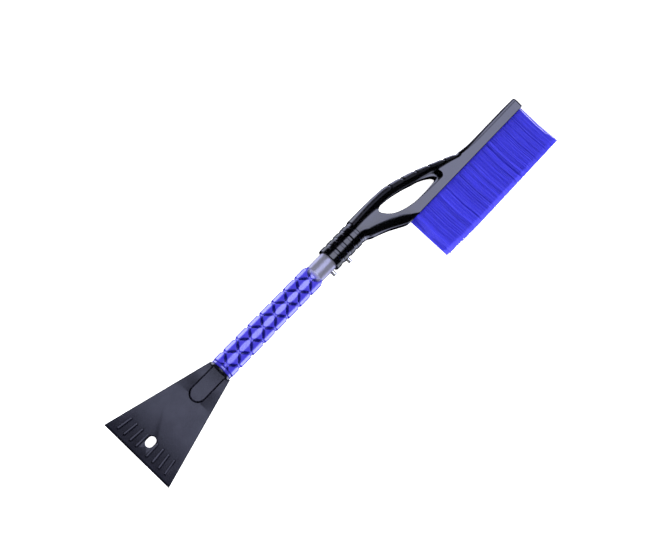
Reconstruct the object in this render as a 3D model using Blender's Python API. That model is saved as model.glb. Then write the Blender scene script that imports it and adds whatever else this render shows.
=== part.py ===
"""Windshield ice scraper with a snow brush.

A ribbed scraper blade and a blue grip sit on one end of an aluminium tube. A brush head with a hand loop
pulls off the other end once the release button is pressed. Metres, +Z up. The tool lies on its side, with the
tube along X, the cutting edge at -X and the bristles pointing to -Y. Every piece is modelled from the cutting
edge (x), the tube's axis (y) and the tool's middle plane (z), and is carried by the tool_axis empty.
"""

import math

import bmesh
import bpy
from mathutils import Matrix, Vector

# Whole tool
LENGTH = 0.652
AXIS_Y = 0.0260
AXIS_Z = 0.0170
GAP = 0.0003
ROUND_STEPS = 40

# Scraper blade
BLADE_HALF_WIDTH = 0.051
SHOULDER_HALF_WIDTH = 0.0157
SHOULDER_X = 0.1354
BLADE_EDGE_THICKNESS = 0.0008
BLADE_BEVEL_X = 0.006
BLADE_THICKNESS = 0.0040
BLADE_ROOT_THICKNESS = 0.0064
BLADE_SIDE_CHAMFER = 0.0009
RIB_OFFSETS = (0.0085, 0.0183, 0.0283, 0.0383)
RIB_START_X = 0.0062
RIB_END_X = 0.0275
RIB_FAN_X = 0.24
RIB_HALF_WIDTH = 0.0016
RIB_HEIGHT = 0.0011
HANG_HOLE_X = 0.0226
HANG_HOLE_LENGTH = 0.0140
HANG_HOLE_WIDTH = 0.0100
TONGUE_NOSE_X = 0.0873
TONGUE_HALF_WIDTH = 0.0098
TONGUE_DRAFT = 0.0014
TONGUE_HALF_HEIGHT = 0.0085
FLANGE_THICKNESS = 0.0028
FLANGE_RADIUS = 0.0147
SPIGOT_RADIUS = 0.0112
SPIGOT_LENGTH = 0.0420
PIN_X = 0.1560
PIN_RADIUS = 0.0020

# Tube and grip
TUBE_RADIUS = 0.0125
TUBE_WALL = 0.0010
TUBE_START_X = 0.1360
TUBE_END_X = 0.3920
GRIP_RADIUS = 0.0150
GRIP_END_X = 0.2982
GRIP_CHAMFER = 0.0005

# Spring clip and its two buttons
RELEASE_X = 0.3174
LOCK_X = 0.3429
RELEASE_TIP = 0.0188
LOCK_TIP = 0.0210
BUTTON_RADIUS = 0.0028
BUTTON_DOME = 0.0009
SHANK_RADIUS = 0.0012
RIVET_RADIUS = 0.0022
RIVET_HEIGHT = 0.0006
PIVOT_X = 0.2774
PIVOT_Y = -0.0090
STRIP_Y = 0.01025
STRIP_THICKNESS = 0.0005
STRIP_HALF_WIDTH = 0.0040
STRIP_END_X = 0.3520
STRIP_BEND_RADIUS = 0.0016
SLOT_HALF_WIDTH = 0.00315
SLOT_HALF_LENGTH = 0.0040
SLOT_SHIFT = 0.0004

# Brush head
COLLAR_X = 0.3241
COLLAR_RADIUS = 0.0158
SOCKET_END_X = 0.3940
GROOVE_DEPTH = 0.0008
GROOVE_LENGTH = 0.0056
GROOVE_PITCH = 0.0120
FIRST_GROOVE_X = 0.3350
GROOVE_COUNT = 4
NECK_X = 0.3738
BAR_UNDERSIDE_Y = -0.0393
BAR_END_CHAMFER = 0.0030
CORNER_STEPS = 6
LOOP_SECTIONS = 18
PAD_THICKNESS = 0.0015
PAD_HALF_WIDTH = 0.0100
PAD_NOTCH_DEPTH = 0.0009
PAD_NOTCH_HALF = 0.0010
PAD_START_X = 0.3750
PAD_END_X = 0.5400
PAD_NOTCHES_X = (0.4467, 0.4656, 0.4847, 0.5019, 0.5213)

# Bristles
ROWS = 4
ROW_PITCH = 0.0072
TUFTS = 22
TUFT_PITCH = 0.0094
FIRST_TUFT_X = 0.4468
TUFT_RADIUS = 0.0020
TUFT_SIDES = 6
HOLE_DEPTH = 0.0100
STAPLE_HEIGHT = 0.0008
STAPLE_HALF_WIDTH = 0.0004
BRISTLE_TIP_Y = -0.1030
BRISTLE_NEAR_X = 0.4420
BRISTLE_FAR_X = 0.6495
BRISTLE_LEAN = 0.0030
TUFT_MERGE_Y = -0.0397

# Outer edge of the loop over the pads and the head's underside as (x, y), and corner roundings as (x, radius)
PAD_TOP_POINTS = (
    (0.3700, 0.0164), (0.3900, 0.0165), (0.4094, 0.0163), (0.4227, 0.0160), (0.4360, 0.0152),
    (0.4467, 0.0137), (0.4656, 0.0089), (0.4847, 0.0028), (0.5019, -0.0043), (0.5213, -0.0127),
    (0.5400, -0.0203), (0.5526, -0.0226), (0.5667, -0.0236), (0.6023, -0.0237), (0.6600, -0.0234),
)
UNDERSIDE_POINTS = (
    (0.3600, -0.0158), (0.3701, -0.0163), (0.3831, -0.0193), (0.3962, -0.0233), (0.4094, -0.0286),
    (0.4227, -0.0353), (0.4320, -0.0393), (0.4420, -0.0393), (0.6600, -0.0393),
)
TOP_CORNER_POINTS = ((0.3700, 0.0142), (0.4100, 0.0120), (0.4700, 0.0095), (0.5200, 0.0065), (0.5600, 0.0030))
UNDER_CORNER_POINTS = ((0.3700, 0.0150), (0.4100, 0.0140), (0.4300, 0.0090), (0.4470, 0.0030))
HALF_THICKNESS_POINTS = ((0.3700, 0.0154), (0.4100, 0.0154), (0.4500, 0.0162), (0.5600, 0.0170))
OPENING_POINTS = (
    (0.4123, -0.0030), (0.4180, 0.0010), (0.4360, 0.0003), (0.4560, -0.0034), (0.4760, -0.0092),
    (0.4920, -0.0161), (0.5008, -0.0222), (0.4975, -0.0253), (0.4630, -0.0256), (0.4400, -0.0220),
    (0.4230, -0.0148),
)


def clear_scene():
    for item in list(bpy.data.objects):
        bpy.data.objects.remove(item, do_unlink=True)


def material(name, colour, roughness, metallic=0.0):
    made = bpy.data.materials.new(name)
    made.use_nodes = True
    shader = made.node_tree.nodes["Principled BSDF"]
    shader.inputs["Base Color"].default_value = (*colour, 1.0)
    shader.inputs["Roughness"].default_value = roughness
    shader.inputs["Metallic"].default_value = metallic
    made.diffuse_color = (*colour, 1.0)
    return made


def empty(name, location, parent=None):
    made = bpy.data.objects.new(name, None)
    made.location = location
    made.parent = parent
    made.empty_display_size = 0.02
    bpy.context.scene.collection.objects.link(made)
    return made


def finish_mesh(bm, name):
    """Turns the faces outwards, writes the mesh and shades its round stretches smooth."""
    bmesh.ops.remove_doubles(bm, verts=bm.verts, dist=1e-6)
    bmesh.ops.recalc_face_normals(bm, faces=bm.faces)
    mesh = bpy.data.meshes.new(name)
    bm.to_mesh(mesh)
    bm.free()
    mesh.shade_smooth()
    mesh.set_sharp_from_angle(angle=math.radians(35))
    return mesh


def add_piece(name, mesh, finish, parent, location=(0.0, 0.0, 0.0)):
    made = bpy.data.objects.new(name, mesh)
    made.location = location
    made.parent = parent
    mesh.materials.append(finish)
    bpy.context.scene.collection.objects.link(made)
    return made


def add_helper(name, mesh, parent, location=(0.0, 0.0, 0.0)):
    made = bpy.data.objects.new(name, mesh)
    made.location = location
    made.parent = parent
    made.hide_render = True
    made.display_type = "WIRE"
    bpy.context.scene.collection.objects.link(made)
    return made


def boolean(target, other, operation):
    modifier = target.modifiers.new(other.name, "BOOLEAN")
    modifier.object = other
    modifier.operation = operation
    modifier.solver = "EXACT"


def turned(name, outline, steps=ROUND_STEPS, axis="X"):
    """An outline of (distance along the axis, radius) spun about it; one that ends off the axis is closed."""
    bm = bmesh.new()
    verts = [bm.verts.new((along, 0.0, radius)) for along, radius in outline]
    count = len(verts)
    on_axis = outline[0][1] == 0.0
    edges = [bm.edges.new((verts[i], verts[(i + 1) % count])) for i in range(count - on_axis)]
    bmesh.ops.spin(
        bm, geom=verts + edges, cent=(0, 0, 0), axis=(1, 0, 0), angle=math.tau, steps=steps, use_merge=True
    )
    if axis == "Y":
        bmesh.ops.rotate(bm, verts=bm.verts, cent=(0, 0, 0), matrix=Matrix.Rotation(-math.pi / 2, 3, "Z"))
    if axis == "Z":
        bmesh.ops.rotate(bm, verts=bm.verts, cent=(0, 0, 0), matrix=Matrix.Rotation(-math.pi / 2, 3, "Y"))
    return finish_mesh(bm, name)


def loft_into(bm, rings):
    """Skins closed rings of equal length and caps both ends."""
    made = [[bm.verts.new(point) for point in ring] for ring in rings]
    count = len(made[0])
    for one, two in zip(made, made[1:]):
        for i in range(count):
            j = (i + 1) % count
            bm.faces.new((one[i], one[j], two[j], two[i]))
    bm.faces.new(made[0])
    bm.faces.new(made[-1])


def lofted(name, rings):
    bm = bmesh.new()
    loft_into(bm, rings)
    return finish_mesh(bm, name)


def stadium(length, width, steps=10):
    """Outline points of a slot with round ends, centred, its length along the first axis."""
    radius = width / 2
    straight = length / 2 - radius
    points = []
    for end, start in ((1, -math.pi / 2), (-1, math.pi / 2)):
        for i in range(steps + 1):
            angle = start + math.pi * i / steps
            points.append((end * straight + radius * math.cos(angle), radius * math.sin(angle)))
    return points


def smooth_loop(points, steps=4):
    """A closed Catmull-Rom curve through the points."""
    count = len(points)
    made = []
    for i in range(count):
        p0, p1, p2, p3 = (Vector(points[(i + k - 1) % count]) for k in range(4))
        for k in range(steps):
            t = k / steps
            made.append(0.5 * (2 * p1 + (p2 - p0) * t + (2 * p0 - 5 * p1 + 4 * p2 - p3) * t**2
                               + (3 * p1 - p0 - 3 * p2 + p3) * t**3))
    return made


def smooth_height(points, x):
    """The height at x of a smooth curve through (x, height) points, flat in slope past its ends."""
    if x <= points[0][0]:
        return points[0][1]
    if x >= points[-1][0]:
        return points[-1][1]
    i = max(k for k in range(len(points) - 1) if points[k][0] <= x)

    def slope(k):
        low = max(k - 1, 0)
        high = min(k + 1, len(points) - 1)
        return (points[high][1] - points[low][1]) / (points[high][0] - points[low][0])

    span = points[i + 1][0] - points[i][0]
    t = (x - points[i][0]) / span
    return (
        (2 * t**3 - 3 * t**2 + 1) * points[i][1]
        + (t**3 - 2 * t**2 + t) * span * slope(i)
        + (3 * t**2 - 2 * t**3) * points[i + 1][1]
        + (t**3 - t**2) * span * slope(i + 1)
    )


def slot_mesh(name, length, width, low, high):
    """A stadium prism that runs along Y from low to high, its length along X."""
    outline = stadium(length, width)
    return lofted(name, [[(x, y, z) for x, z in outline] for y in (low, high)])


def blade_ring(x):
    """The blade's cross-section at x: flat faces with chamfered side edges."""
    share = x / SHOULDER_X
    half = BLADE_HALF_WIDTH + (SHOULDER_HALF_WIDTH - BLADE_HALF_WIDTH) * share
    if x < BLADE_BEVEL_X:
        thick = BLADE_EDGE_THICKNESS + (BLADE_THICKNESS - BLADE_EDGE_THICKNESS) * x / BLADE_BEVEL_X
    else:
        thick = BLADE_THICKNESS + (BLADE_ROOT_THICKNESS - BLADE_THICKNESS) * max(0.0, share - 0.6) / 0.4
    low = -BLADE_THICKNESS / 2 - (thick - BLADE_THICKNESS) / 2 * (x > BLADE_BEVEL_X)
    high = low + thick
    chamfer = min(BLADE_SIDE_CHAMFER, thick * 0.35)
    return [
        (x, -half, low + chamfer), (x, -half + chamfer, low),
        (x, half - chamfer, low), (x, half, low + chamfer),
        (x, half, high - chamfer), (x, half - chamfer, high),
        (x, -half + chamfer, high), (x, -half, high - chamfer),
    ]


def rib_mesh():
    """Eight raised bars, four each side of the hanging hole, fanned from a point up the handle."""
    bm = bmesh.new()
    low = BLADE_THICKNESS / 2 - RIB_HEIGHT / 2
    high = BLADE_THICKNESS / 2 + RIB_HEIGHT
    length = RIB_END_X - RIB_START_X
    for side in (-1, 1):
        for offset in RIB_OFFSETS:
            y = side * offset
            turn = -math.atan2(y, RIB_FAN_X)
            middle_x = (RIB_START_X + RIB_END_X) / 2
            middle_y = y * (1 - middle_x / RIB_FAN_X)
            rings = []
            for z, shrink in ((low, 0.0), (high - RIB_HALF_WIDTH / 3, 0.0), (high, RIB_HALF_WIDTH / 3)):
                outline = stadium(length - 2 * shrink, 2 * (RIB_HALF_WIDTH - shrink), 4)
                rings.append([
                    (middle_x + px * math.cos(turn) - py * math.sin(turn),
                     middle_y + px * math.sin(turn) + py * math.cos(turn), z)
                    for px, py in outline
                ])
            loft_into(bm, rings)
    return finish_mesh(bm, "ribs")


def tongue_mesh():
    """The raised boss that joins the blade to the tube, drafted on both faces, with a round nose."""
    rings = []
    back = SHOULDER_X - FLANGE_THICKNESS / 2
    for z, inset in ((-TONGUE_HALF_HEIGHT, TONGUE_DRAFT), (0.0, 0.0), (TONGUE_HALF_HEIGHT, TONGUE_DRAFT)):
        radius = TONGUE_HALF_WIDTH - inset
        centre = TONGUE_NOSE_X + TONGUE_HALF_WIDTH
        ring = [(back, radius, z)]
        for i in range(13):
            angle = math.pi / 2 + math.pi * i / 12
            ring.append((centre + radius * math.cos(angle), radius * math.sin(angle), z))
        ring.append((back, -radius, z))
        rings.append(ring)
    return lofted("tongue", rings)


def build_scraper(parent, finish):
    stations = (0.0, BLADE_BEVEL_X, 0.6 * SHOULDER_X, SHOULDER_X)
    plate = lofted("scraper_head", [blade_ring(x) for x in stations])
    blade = add_piece("scraper_head", plate, finish, parent)
    start = SHOULDER_X - FLANGE_THICKNESS
    end = SHOULDER_X + SPIGOT_LENGTH
    spigot = turned("spigot", (
        (start, 0.0), (start, FLANGE_RADIUS - GRIP_CHAMFER), (start + GRIP_CHAMFER, FLANGE_RADIUS),
        (SHOULDER_X + GAP, FLANGE_RADIUS), (SHOULDER_X + GAP, SPIGOT_RADIUS), (end - 0.002, SPIGOT_RADIUS),
        (end, SPIGOT_RADIUS - 0.002), (end, 0.0),
    ))
    boolean(blade, add_helper("tongue", tongue_mesh(), parent), "UNION")
    boolean(blade, add_helper("spigot", spigot, parent), "UNION")
    boolean(blade, add_helper("ribs", rib_mesh(), parent), "UNION")
    outline = stadium(HANG_HOLE_LENGTH, HANG_HOLE_WIDTH)
    hole = lofted("hang_hole", [[(HANG_HOLE_X + x, y, z) for x, y in outline] for z in (-0.01, 0.01)])
    boolean(blade, add_helper("hang_hole", hole, parent), "DIFFERENCE")
    reach = TUBE_RADIUS + 0.004
    bore = turned("pin_bore", (
        (-reach, 0.0), (-reach, PIN_RADIUS + GAP), (reach, PIN_RADIUS + GAP), (reach, 0.0),
    ), 16, "Z")
    bore_object = add_helper("pin_bore", bore, parent, (PIN_X, 0.0, 0.0))
    boolean(blade, bore_object, "DIFFERENCE")
    return bore_object


def build_tube(parent, finish, pin_bore):
    inner = TUBE_RADIUS - TUBE_WALL
    outline = (
        (TUBE_START_X, inner), (TUBE_START_X, TUBE_RADIUS), (TUBE_END_X, TUBE_RADIUS), (TUBE_END_X, inner),
    )
    tube = add_piece("handle_tube", turned("handle_tube", outline), finish, parent)
    boolean(tube, pin_bore, "DIFFERENCE")
    for name, x in (("release_slot", RELEASE_X), ("lock_slot", LOCK_X)):
        mesh = slot_mesh(name, 2 * SLOT_HALF_LENGTH, 2 * SLOT_HALF_WIDTH, -0.018, -0.008)
        boolean(tube, add_helper(name, mesh, parent, (x + SLOT_SHIFT, 0.0, 0.0)), "DIFFERENCE")


def build_pin(parent, finish):
    reach = TUBE_RADIUS - 0.0001
    lead = 0.0004
    outline = (
        (-reach, 0.0), (-reach, PIN_RADIUS - lead), (-reach + lead, PIN_RADIUS), (reach - lead, PIN_RADIUS),
        (reach, PIN_RADIUS - lead), (reach, 0.0),
    )
    add_piece("spigot_pin", turned("spigot_pin", outline, 16, "Z"), finish, parent, (PIN_X, 0.0, 0.0))


def build_grip(parent, finish):
    """A plain sleeve at its outer size; its cross-shaped cuts are surface detail."""
    inner = TUBE_RADIUS + GAP
    start = TUBE_START_X
    edge = GRIP_RADIUS - GRIP_CHAMFER
    outline = (
        (GRIP_END_X, inner), (start, inner), (start, edge), (start + GRIP_CHAMFER, GRIP_RADIUS),
        (GRIP_END_X - GRIP_CHAMFER, GRIP_RADIUS), (GRIP_END_X, edge),
    )
    add_piece("grip_sleeve", turned("grip_sleeve", outline), finish, parent)


def strip_path():
    """Points along the clip: the button leg, the bend near the pivot, and the leg that braces it."""
    bend_x = PIVOT_X - 0.003
    bend_y = -STRIP_Y + STRIP_BEND_RADIUS
    brace_end = Vector((STRIP_END_X - 0.010, STRIP_Y))
    points = [Vector((x, -STRIP_Y)) for x in (STRIP_END_X, LOCK_X, RELEASE_X, PIVOT_X + 0.010, bend_x)]
    brace_from = Vector((bend_x, bend_y + STRIP_BEND_RADIUS))
    lean = (brace_end - brace_from).angle_signed(Vector((1, 0)))
    turn = math.pi - lean
    for i in range(1, 9):
        angle = -math.pi / 2 - turn * i / 8
        turned_to = Vector((math.cos(angle), math.sin(angle)))
        points.append(Vector((bend_x, bend_y)) + STRIP_BEND_RADIUS * turned_to)
    points.append(brace_end)
    return points


def build_clip(parent, pivot, finish, button_finish):
    points = strip_path()
    rings = []
    for i, point in enumerate(points):
        along = (points[min(i + 1, len(points) - 1)] - points[max(i - 1, 0)]).normalized()
        across = Vector((-along.y, along.x)) * STRIP_THICKNESS / 2
        one = point + across
        two = point - across
        rings.append([
            (one.x, one.y, -STRIP_HALF_WIDTH), (one.x, one.y, STRIP_HALF_WIDTH),
            (two.x, two.y, STRIP_HALF_WIDTH), (two.x, two.y, -STRIP_HALF_WIDTH),
        ])
    carried = (-PIVOT_X, -PIVOT_Y, 0.0)
    clip = add_piece("spring_clip", lofted("spring_clip", rings), finish, pivot, carried)
    outer = STRIP_Y + STRIP_THICKNESS / 2
    inner = STRIP_Y - STRIP_THICKNESS / 2
    for name, x, tip in (("release_button", RELEASE_X, RELEASE_TIP), ("lock_button", LOCK_X, LOCK_TIP)):
        outline = [(inner - GAP - RIVET_HEIGHT, 0.0), (inner - GAP - RIVET_HEIGHT, RIVET_RADIUS)]
        outline += [(inner - GAP, RIVET_RADIUS), (inner - GAP, SHANK_RADIUS), (outer + GAP, SHANK_RADIUS)]
        outline += [(outer + GAP, BUTTON_RADIUS), (tip - BUTTON_DOME, BUTTON_RADIUS)]
        outline += [(tip - 0.3 * BUTTON_DOME, 0.75 * BUTTON_RADIUS), (tip, 0.35 * BUTTON_RADIUS), (tip, 0.0)]
        place = (x - PIVOT_X, -PIVOT_Y, 0.0)
        add_piece(name, turned(name, outline, 24, "Y"), button_finish, pivot, place)
        bore = turned(name + "_bore", (
            (inner - 0.002, 0.0), (inner - 0.002, SHANK_RADIUS + GAP), (outer + 0.002, SHANK_RADIUS + GAP),
            (outer + 0.002, 0.0),
        ), 16, "Y")
        boolean(clip, add_helper(name + "_bore", bore, pivot, place), "DIFFERENCE")


def pad_top(x):
    return smooth_height(PAD_TOP_POINTS, x)


def body_top(x):
    """The head's outer edge: under the grip strip as far as its end, and the bar's bare back after it."""
    under_strip = pad_top(x) - PAD_THICKNESS - GAP
    if x <= PAD_END_X:
        return under_strip
    share = min(1.0, (x - PAD_END_X) / 0.004)
    return under_strip + share * (pad_top(x) - under_strip)


def section(x, inset=0.0):
    """The head's rounded-rectangle section at x: top, bottom, half thickness, top and bottom radius."""
    if x < NECK_X:
        radius = COLLAR_RADIUS - inset
        return radius, -radius, radius, radius * 0.999, radius * 0.999
    return (
        body_top(x) - inset,
        smooth_height(UNDERSIDE_POINTS, x) + inset,
        smooth_height(HALF_THICKNESS_POINTS, x) - inset,
        smooth_height(TOP_CORNER_POINTS, x),
        smooth_height(UNDER_CORNER_POINTS, x),
    )


def section_ring(x, inset=0.0, place_x=None):
    top, bottom, half, top_radius, bottom_radius = section(x, inset)
    corners = (
        (top - top_radius, half - top_radius, top_radius, 0.0),
        (top - top_radius, -half + top_radius, top_radius, -math.pi / 2),
        (bottom + bottom_radius, -half + bottom_radius, bottom_radius, -math.pi),
        (bottom + bottom_radius, half - bottom_radius, bottom_radius, -1.5 * math.pi),
    )
    ring = []
    for y, z, radius, start in corners:
        for i in range(CORNER_STEPS + 1):
            angle = start + math.pi / 2 - math.pi / 2 * i / CORNER_STEPS
            at_x = x if place_x is None else place_x
            ring.append((at_x, y + radius * math.cos(angle), z + radius * math.sin(angle)))
    return ring


def head_rings():
    """Sections from the collar's mouth, over its grooves, round the loop and out to the bar's end."""
    rings = [section_ring(COLLAR_X, 0.0006), section_ring(COLLAR_X + 0.0006)]
    for i in range(GROOVE_COUNT):
        middle = FIRST_GROOVE_X + GROOVE_PITCH * i
        for x, inset in (
            (middle - GROOVE_LENGTH / 2, 0.0), (middle - GROOVE_LENGTH / 2 + 0.0006, GROOVE_DEPTH),
            (middle + GROOVE_LENGTH / 2 - 0.0006, GROOVE_DEPTH), (middle + GROOVE_LENGTH / 2, 0.0),
        ):
            rings.append(section_ring(min(x, NECK_X - 0.0001), inset))
    loop = [NECK_X + 0.0002 + i * (PAD_END_X - NECK_X) / LOOP_SECTIONS for i in range(LOOP_SECTIONS)]
    bar = [PAD_END_X, PAD_END_X + 0.004, 0.5526, 0.5667, 0.6023, LENGTH - BAR_END_CHAMFER]
    rings += [section_ring(x) for x in loop + bar]
    rings.append(section_ring(LENGTH - BAR_END_CHAMFER, BAR_END_CHAMFER * 0.6, LENGTH))
    return rings


def tuft_places():
    return [
        (FIRST_TUFT_X + TUFT_PITCH * i, (row - (ROWS - 1) / 2) * ROW_PITCH)
        for row in range(ROWS)
        for i in range(TUFTS)
    ]


def peg_ring(x, y, z, radius):
    return [
        (x + radius * math.cos(angle), y, z + radius * math.sin(angle))
        for angle in (math.tau * i / TUFT_SIDES for i in range(TUFT_SIDES))
    ]


def pegs_mesh(name, places, low, high, radius):
    """Upright round pegs, one body each, for holes and for the roots of the tufts."""
    bm = bmesh.new()
    for x, z in places:
        loft_into(bm, [peg_ring(x, low, z, radius), peg_ring(x, high, z, radius)])
    return finish_mesh(bm, name)


def box_rings(x0, x1, y0, y1, z0, z1):
    return [[(x, y0, z0), (x, y1, z0), (x, y1, z1), (x, y0, z1)] for x in (x0, x1)]


def build_head(parent, finish):
    head = add_piece("brush_head", lofted("brush_head", head_rings()), finish, parent)
    loop = smooth_loop(OPENING_POINTS)
    opening = lofted("hand_opening", [[(p.x, p.y, z) for p in loop] for z in (-0.03, 0.03)])
    boolean(head, add_helper("hand_opening", opening, parent), "DIFFERENCE")
    bore = TUBE_RADIUS + GAP
    socket = turned("socket", (
        (COLLAR_X - 0.01, 0.0), (COLLAR_X - 0.01, bore), (SOCKET_END_X, bore), (SOCKET_END_X, 0.0),
    ))
    boolean(head, add_helper("socket", socket, parent), "DIFFERENCE")
    slot = slot_mesh("collar_slot", 2 * SLOT_HALF_LENGTH, 2 * SLOT_HALF_WIDTH, -0.018, -0.010)
    boolean(head, add_helper("collar_slot", slot, parent, (LOCK_X + SLOT_SHIFT, 0.0, 0.0)), "DIFFERENCE")
    top = BAR_UNDERSIDE_Y + HOLE_DEPTH
    holes = pegs_mesh("tuft_holes", tuft_places(), BAR_UNDERSIDE_Y - 0.002, top, TUFT_RADIUS + GAP)
    boolean(head, add_helper("tuft_holes", holes, parent), "DIFFERENCE")
    bm = bmesh.new()
    for row in range(ROWS):
        z = (row - (ROWS - 1) / 2) * ROW_PITCH
        half = STAPLE_HALF_WIDTH + GAP
        loft_into(bm, box_rings(
            FIRST_TUFT_X - GAP, FIRST_TUFT_X + TUFT_PITCH * (TUFTS - 1) + GAP,
            top - STAPLE_HEIGHT, top + GAP, z - half, z + half,
        ))
    boolean(head, add_helper("staple_slots", finish_mesh(bm, "staple_slots"), parent), "DIFFERENCE")


def build_strip(parent, finish):
    """The soft strip on the loop's outer edge: pads parted by cross notches, following the round edge."""
    stations = [(PAD_START_X, 0.0)]
    x = PAD_START_X + 0.012
    while x < PAD_NOTCHES_X[0] - 0.008:
        stations.append((x, 0.0))
        x += 0.012
    for notch in PAD_NOTCHES_X:
        stations += [(notch - PAD_NOTCH_HALF, 0.0), (notch - PAD_NOTCH_HALF / 3, PAD_NOTCH_DEPTH)]
        stations += [(notch + PAD_NOTCH_HALF / 3, PAD_NOTCH_DEPTH), (notch + PAD_NOTCH_HALF, 0.0)]
        stations.append((notch + 0.0095, 0.0))
    stations[-1] = (PAD_END_X - 0.0005, 0.0)
    rings = []
    for x, dip in stations:
        top, _, half, radius, _ = section(x)
        inner = []
        outer = []
        for i in range(9):
            z = PAD_HALF_WIDTH * (i / 4 - 1)
            over = max(0.0, abs(z) - (half - radius))
            fall = radius - math.sqrt(radius**2 - over**2)
            inner.append((x, top + GAP - fall, z))
            edge = (1 - abs(i / 4 - 1) ** 4) * 0.35 + 0.65
            outer.append((x, top + GAP - fall + (PAD_THICKNESS - dip) * edge, z))
        rings.append(inner + outer[::-1])
    add_piece("arch_grip_strip", lofted("arch_grip_strip", rings), finish, parent)


def build_bristles(parent, finish, wire_finish):
    """Each row's tufts, joined where they fan into each other, and the strip of staples that holds them."""
    top = BAR_UNDERSIDE_Y + HOLE_DEPTH
    for row in range(ROWS):
        z = (row - (ROWS - 1) / 2) * ROW_PITCH
        tip_half = ROW_PITCH / 2 - GAP / 2
        root_half = TUFT_RADIUS + 0.0002
        rings = []
        for y, half in ((TUFT_MERGE_Y, root_half), (-0.0560, tip_half * 0.85), (BRISTLE_TIP_Y, tip_half)):
            share = (y - TUFT_MERGE_Y) / (BRISTLE_TIP_Y - TUFT_MERGE_Y)
            near = BRISTLE_NEAR_X + BRISTLE_LEAN * share
            far = BRISTLE_FAR_X
            rings.append([(near, y, z - half), (near, y, z + half), (far, y, z + half), (far, y, z - half)])
        name = f"bristle_row_{row + 1}"
        block = add_piece(name, lofted(name, rings), finish, parent)
        places = [(FIRST_TUFT_X + TUFT_PITCH * i, z) for i in range(TUFTS)]
        root_top = top - STAPLE_HEIGHT - GAP
        roots = pegs_mesh(name + "_roots", places, TUFT_MERGE_Y - 0.002, root_top, TUFT_RADIUS)
        boolean(block, add_helper(name + "_roots", roots, parent), "UNION")
        staple = f"staple_row_{row + 1}"
        rings = box_rings(
            FIRST_TUFT_X, FIRST_TUFT_X + TUFT_PITCH * (TUFTS - 1),
            top - STAPLE_HEIGHT + 0.0001, top - 0.0001,
            z - STAPLE_HALF_WIDTH, z + STAPLE_HALF_WIDTH,
        )
        add_piece(staple, lofted(staple, rings), wire_finish, parent)


def main():
    clear_scene()
    black_gloss = material("black_gloss_plastic", (0.012, 0.012, 0.016), 0.22)
    blade_grey = material("blade_plastic", (0.035, 0.038, 0.055), 0.38)
    aluminium = material("satin_aluminium", (0.62, 0.62, 0.68), 0.30, 1.0)
    blue_grip = material("blue_grip", (0.10, 0.09, 0.75), 0.35)
    blue_bristle = material("blue_bristle", (0.055, 0.05, 0.70), 0.50)
    soft_black = material("soft_black", (0.02, 0.02, 0.025), 0.45)
    spring_steel = material("spring_steel", (0.45, 0.45, 0.46), 0.30, 1.0)
    bright_steel = material("bright_steel", (0.80, 0.80, 0.82), 0.12, 1.0)

    axis = empty("tool_axis", (-LENGTH / 2, AXIS_Y, AXIS_Z))
    head = empty("head_slide", (0.0, 0.0, 0.0), axis)
    pivot = empty("button_pivot", (PIVOT_X, PIVOT_Y, 0.0), axis)
    pin_bore = build_scraper(axis, blade_grey)
    build_tube(axis, aluminium, pin_bore)
    build_pin(axis, spring_steel)
    build_grip(axis, blue_grip)
    build_clip(axis, pivot, spring_steel, bright_steel)
    build_head(head, black_gloss)
    build_strip(head, soft_black)
    build_bristles(head, blue_bristle, spring_steel)


main()
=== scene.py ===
"""Looks of the windshield ice scraper with a snow brush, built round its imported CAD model.

Every shape is worked out in the tool's own frame, in metres: x from the cutting edge towards the brush,
y from the tube's axis and away from the bristles, z up from the tool's middle plane. ORIGIN carries it to
the CAD frame.
"""

import math
import random

import bmesh
import bpy
from mathutils import Matrix, Vector


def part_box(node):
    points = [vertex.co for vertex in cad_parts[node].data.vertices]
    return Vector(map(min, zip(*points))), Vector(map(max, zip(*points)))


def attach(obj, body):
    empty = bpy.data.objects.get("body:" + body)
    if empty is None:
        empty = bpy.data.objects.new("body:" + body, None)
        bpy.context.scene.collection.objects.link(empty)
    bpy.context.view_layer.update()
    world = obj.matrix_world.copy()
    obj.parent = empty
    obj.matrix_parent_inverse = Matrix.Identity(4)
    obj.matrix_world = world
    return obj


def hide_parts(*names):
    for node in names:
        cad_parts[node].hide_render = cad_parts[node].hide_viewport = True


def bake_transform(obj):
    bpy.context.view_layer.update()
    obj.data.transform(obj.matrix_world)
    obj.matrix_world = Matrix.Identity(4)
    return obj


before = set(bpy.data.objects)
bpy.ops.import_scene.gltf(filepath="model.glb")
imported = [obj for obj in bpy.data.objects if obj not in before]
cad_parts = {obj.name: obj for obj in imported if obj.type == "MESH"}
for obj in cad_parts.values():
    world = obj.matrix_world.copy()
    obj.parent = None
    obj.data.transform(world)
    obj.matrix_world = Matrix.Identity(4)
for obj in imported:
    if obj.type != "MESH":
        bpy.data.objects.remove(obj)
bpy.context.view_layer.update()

# Places and sizes taken from the CAD nodes
BLADE_LOW, BLADE_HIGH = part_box("scraper_head")
TUBE_LOW, TUBE_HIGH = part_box("handle_tube")
GRIP_LOW, GRIP_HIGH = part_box("grip_sleeve")
HEAD_LOW, HEAD_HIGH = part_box("brush_head")
RELEASE_LOW, RELEASE_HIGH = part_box("release_button")
LOCK_LOW, LOCK_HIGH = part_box("lock_button")
BRISTLE_LOW, BRISTLE_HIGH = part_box("bristle_row_1")
ORIGIN = Vector((BLADE_LOW.x, (TUBE_LOW.y + TUBE_HIGH.y) / 2, (TUBE_LOW.z + TUBE_HIGH.z) / 2))

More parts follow.
